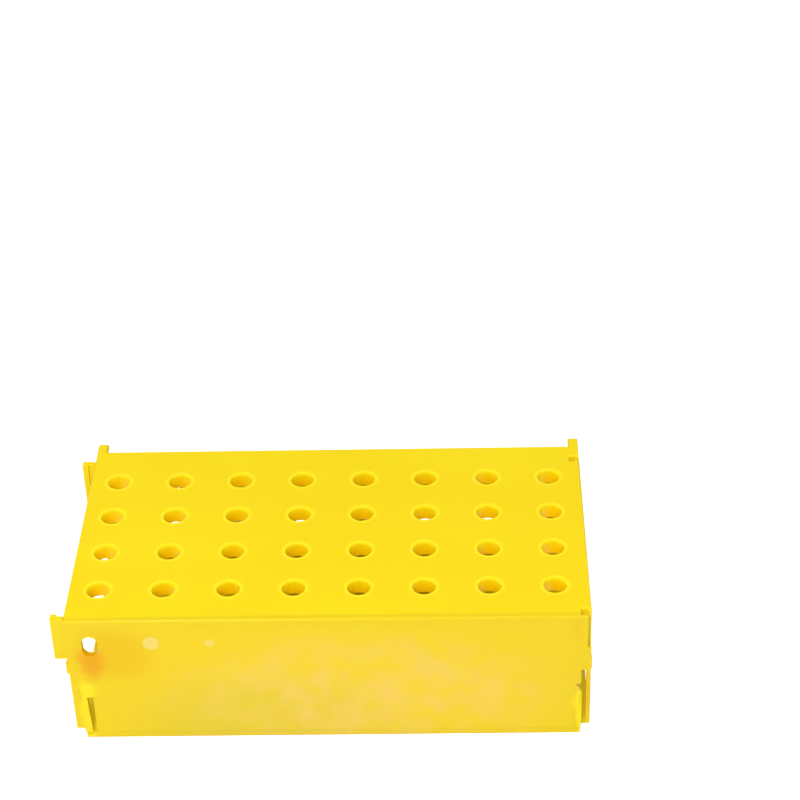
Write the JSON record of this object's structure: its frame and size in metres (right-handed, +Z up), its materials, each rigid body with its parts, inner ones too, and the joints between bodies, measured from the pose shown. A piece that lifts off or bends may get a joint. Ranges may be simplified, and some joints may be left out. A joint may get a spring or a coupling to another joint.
{
  "type": "microcentrifuge tube rack",
  "caption": "Box-shaped four-way bench rack of snap-together plastic walls: small tube holes on top, larger ones below and behind, hooks and sockets at the ends.",
  "frame": {"origin": "middle of the rack's base, on the bench", "axes": "+X along the rack towards the end with the sockets, +Y to the wall with the large holes, +Z up"},
  "size_m": [0.1797, 0.0999, 0.052],
  "materials": {
    "yellow_plastic": "satin moulded polypropylene"
  },
  "bodies": {
    "root": {"top_wall": "yellow_plastic", "bottom_wall": "yellow_plastic", "front_wall": "yellow_plastic", "rear_wall": "yellow_plastic"}
  },
  "joints": []
}
